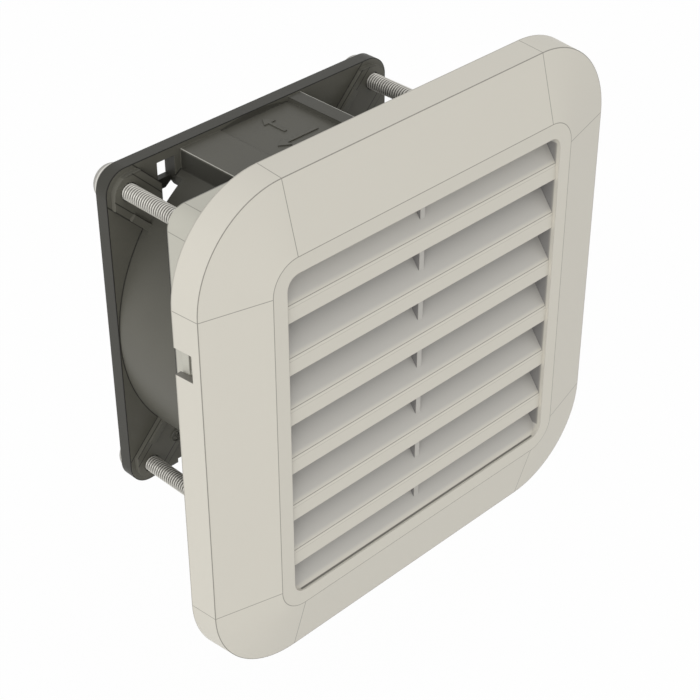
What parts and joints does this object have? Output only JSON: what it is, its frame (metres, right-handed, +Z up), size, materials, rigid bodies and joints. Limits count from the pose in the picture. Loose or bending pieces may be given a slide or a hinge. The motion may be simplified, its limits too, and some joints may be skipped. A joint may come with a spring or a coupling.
{
  "type": "enclosure filter fan",
  "caption": "Louvred filter fan for an enclosure wall: snap-off cover, filter mat, base frame with guard grid, and an axial fan held by long screws.",
  "frame": {"origin": "middle of the cut-out, on the face of the panel that carries the unit", "axes": "+X to the right seen from the louvres, +Y back into the enclosure, +Z up"},
  "size_m": [0.174, 0.0881, 0.174],
  "materials": {
    "cover_plastic": "fine moulded satin, light warm grey",
    "frame_plastic": "fine moulded satin, light warm grey",
    "filter_fibre": "bonded synthetic fibre, off white",
    "gasket_foam": "closed-cell foam, black",
    "zinc_steel": "bright zinc plating",
    "painted_casting": "dark grey paint on a die casting",
    "black_plastic": "black moulded plastic",
    "tinned_brass": "stamped brass",
    "bright_steel": "drawn steel",
    "lamination_steel": "stacked electrical sheet",
    "bobbin_plastic": "natural moulded plastic",
    "copper_wire": "enamelled copper wire",
    "bearing_steel": "ground bearing steel",
    "spring_steel": "blued spring steel",
    "impeller_plastic": "glass-filled black plastic",
    "cage_aluminium": "cast aluminium",
    "bush_brass": "turned brass"
  },
  "bodies": {
    "base": {"base_frame": "frame_plastic", "guard_grid": "frame_plastic", "filter_mat": "filter_fibre", "panel_gasket": "gasket_foam", "captive_nuts": "zinc_steel", "fan_screws": "zinc_steel", "fan_housing": "painted_casting", "terminal_block": "black_plastic", "terminal_blades": "tinned_brass", "bearing_tube": "bright_steel", "stator_core": "lamination_steel", "coil_bobbins": "bobbin_plastic", "stator_coils": "copper_wire", "front_bearing_outer": "bearing_steel", "rear_bearing_outer": "bearing_steel", "preload_washer": "spring_steel", "dust_cap": "black_plastic"},
    "cover": {"louvre_cover": "cover_plastic"},
    "rotor": {"impeller": "impeller_plastic", "rotor_cup": "bright_steel", "rotor_cage": "cage_aluminium", "rotor_bush": "bush_brass", "shaft": "bearing_steel", "front_bearing_inner": "bearing_steel", "rear_bearing_inner": "bearing_steel", "bearing_balls": "bearing_steel", "shaft_clip": "spring_steel"}
  },
  "joints": [
    {"name": "cover_release", "type": "slide", "parent": "base", "child": "cover", "axis": [0, -1, 0], "range_m": [0, 0.03]},
    {"name": "fan_spin", "type": "hinge", "parent": "base", "child": "rotor", "pos_m": [0, 0.045, 0], "axis": [0, 1, 0], "continuous": true}
  ]
}
